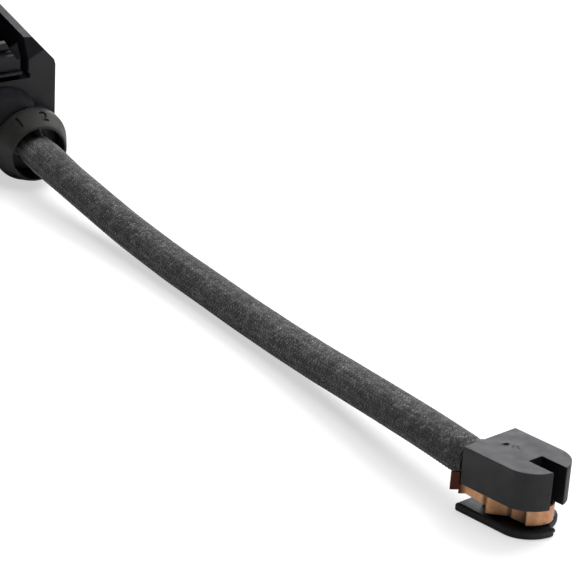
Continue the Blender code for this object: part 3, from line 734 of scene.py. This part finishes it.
def addCap():
    # the cone and dome from the mouth to the plug's barrel, then back inside: x and radius in mm
    profile = [
        (0.0, 5.36),
        (0.06, 5.46),
        (0.05, 5.60),
        (-0.06, 5.76),
        (-0.25, 5.89),
        (-0.70, 6.10),
        (-1.25, 6.33),
        (-1.80, 6.56),
        (-2.50, 6.86),
        (-3.05, 7.10),
        (-3.45, 7.27),
        (-3.75, 7.39),
        (-4.05, 7.47),
        (-4.35, 7.50),
        (-5.02, 7.50),
        (-5.10, 7.42),
        (-5.10, 6.10),
        (-9.10, 6.10),
        (-9.10, 4.05),
        (-5.60, 4.05),
        (-5.60, 3.40),
        (-4.60, 3.40),
        (-4.60, 5.30),
        (-0.10, 5.30),
    ]
    body = addItem("cap", turnedMesh("cap", profile, capSides))
    digits = [addDigit(text, radians(around)) for text, around in (("1", -27), ("2", 17))]
    mesh = smoothed(cutAway(body, digits), angle=32)
    mesh.transform(plugFrame)
    addPiece("domed_cap", mesh, capPlastic, "cap_plastic", "rear_cap")


addCap()


def addGateMark():
    # torn plastic left round the gate where the head was filled
    shape = bmesh.new()
    headTop = 10.83 * mm
    narrowing = 0.7
    crumbs = [                    # millimetres: x, y, half length and half height
        (-4.15, 0.62, 0.28, 0.06),
        (-3.75, 0.70, 0.20, 0.04),
        (-3.10, 0.85, 0.24, 0.03),
        (-2.75, 0.30, 0.20, 0.025),
        (-2.45, 1.00, 0.26, 0.03),
        (-1.95, 0.75, 0.18, 0.02),
        (-4.45, -0.20, 0.16, 0.04),
    ]
    for x, y, reach, height in crumbs:
        made = bmesh.ops.create_icosphere(shape, subdivisions=2, radius=1.0)
        size = (reach * mm, reach * narrowing * mm, height * mm)
        bmesh.ops.scale(shape, vec=size, verts=made["verts"])
        bmesh.ops.translate(shape, vec=(x * mm, y * mm, headTop), verts=made["verts"])
    mesh = bpy.data.meshes.new("gate_mark")
    shape.to_mesh(mesh)
    shape.free()
    addPiece("gate_mark", smoothed(mesh), headPlastic, "head_plastic")


addGateMark()

# Materials on the CAD nodes that keep their shape
nodeMaterials = {
    "sensor_head": headPlastic,
    "connector_housing": plugPlastic,
    "wear_loop": copper,
    "splice_a": tinned,
    "splice_b": tinned,
    "head_wire_a": insulation,
    "head_wire_b": insulation,
    "plug_wire_a": insulation,
    "plug_wire_b": insulation,
    "sleeve_ferrule": tinned,
    "seal_retainer": plugPlastic,
    "wire_seal_a": silicone,
    "wire_seal_b": silicone,
    "terminal_a": tinned,
    "terminal_b": tinned,
    "terminal_lock": lockPlastic,
    "mating_seal": silicone,
}
for nodeName, material in nodeMaterials.items():
    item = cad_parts[nodeName]
    item.data.materials.clear()
    item.data.materials.append(material)
print("materials on", len(nodeMaterials), "nodes")


# Floor and light
def forCamera(tree, shown, lit):
    # what the camera sees straight on, and what lights the pieces
    isCamera = addNode(tree, "ShaderNodeLightPath").outputs["Is Camera Ray"]
    links = {0: isCamera, 1: lit.outputs[0], 2: shown.outputs[0]}
    return addNode(tree, "ShaderNodeMixShader", {}, links).outputs[0]


def addStage():
    # pale paper, partly lit from within to the camera so that shadows stay light
    reach = 1.6                   # metres
    gap = 0.05 * mm               # below the part, so that no face lies in the paper
    glowShare = 0.6
    mesh = bpy.data.meshes.new("floor")
    corners = [(-reach, -reach, 0), (reach, -reach, 0), (reach, reach, 0), (-reach, reach, 0)]
    mesh.from_pydata(corners, [], [(0, 1, 2, 3)])
    floorItem = addItem("floor", mesh)
    floorItem.location.z = -gap
    paper, tree, shader = blank("pale_paper", 0.9)
    sheet = addNode(tree, "ShaderNodeBsdfDiffuse", {"Color": grey(0.86)})
    glow = addNode(tree, "ShaderNodeEmission", {"Color": grey(1.0), "Strength": 1.0})
    links = {1: sheet.outputs[0], 2: glow.outputs[0]}
    shown = addNode(tree, "ShaderNodeMixShader", {0: glowShare}, links)
    dim = addNode(tree, "ShaderNodeBsdfDiffuse", {"Color": grey(0.48)})
    surface = forCamera(tree, shown, dim)
    tree.nodes.remove(shader)
    tree.links.new(surface, tree.nodes["Material Output"].inputs["Surface"])
    mesh.materials.append(paper)


def addLamp(name, place, target, size, power, glossy=False):
    data = bpy.data.lights.new(name, "AREA")
    data.shape = "DISK"
    data.size = size
    data.energy = power
    item = addItem(name, data)
    item.location = place
    item.visible_glossy = glossy
    item.rotation_euler = (Vector(target) - Vector(place)).to_track_quat("-Z", "Y").to_euler()


def addWorld():
    # a studio with bright walls behind and overhead, and a dark side in front
    brightSide = (-0.62, 0.66, 0.42)
    world = bpy.data.worlds.new("studio")
    bpy.context.scene.world = world
    world.use_nodes = True
    tree = world.node_tree
    walls = tree.nodes["Background"]
    where = addNode(tree, "ShaderNodeTexCoord").outputs["Generated"]
    settings = {"operation": "DOT_PRODUCT", 1: brightSide}
    facing = addNode(tree, "ShaderNodeVectorMath", settings, {0: where}).outputs["Value"]
    level = mapped(tree, facing, (-0.30, 0.95), (0.18, 1.9))
    tree.links.new(level, walls.inputs["Strength"])
    white = addNode(tree, "ShaderNodeBackground", {"Color": grey(1.0), "Strength": 1.0})
    tree.links.new(forCamera(tree, white, walls), tree.nodes["World Output"].inputs["Surface"])


addStage()
addWorld()
onLead = (-0.06, 0.0, 0.0)
byHead = (-0.03, 0.0, 0.0)
addLamp("key", (-0.15, 0.75, 0.85), onLead, size=0.7, power=17.0)
addLamp("top", (0.0, 0.1, 1.0), onLead, size=0.9, power=9.0)
addLamp("back", (-0.78, 0.80, 0.42), byHead, size=0.8, power=5.0, glossy=True)
bpy.context.scene.view_settings.view_transform = "Standard"
bpy.context.scene.view_settings.look = "None"
print("stage and light")
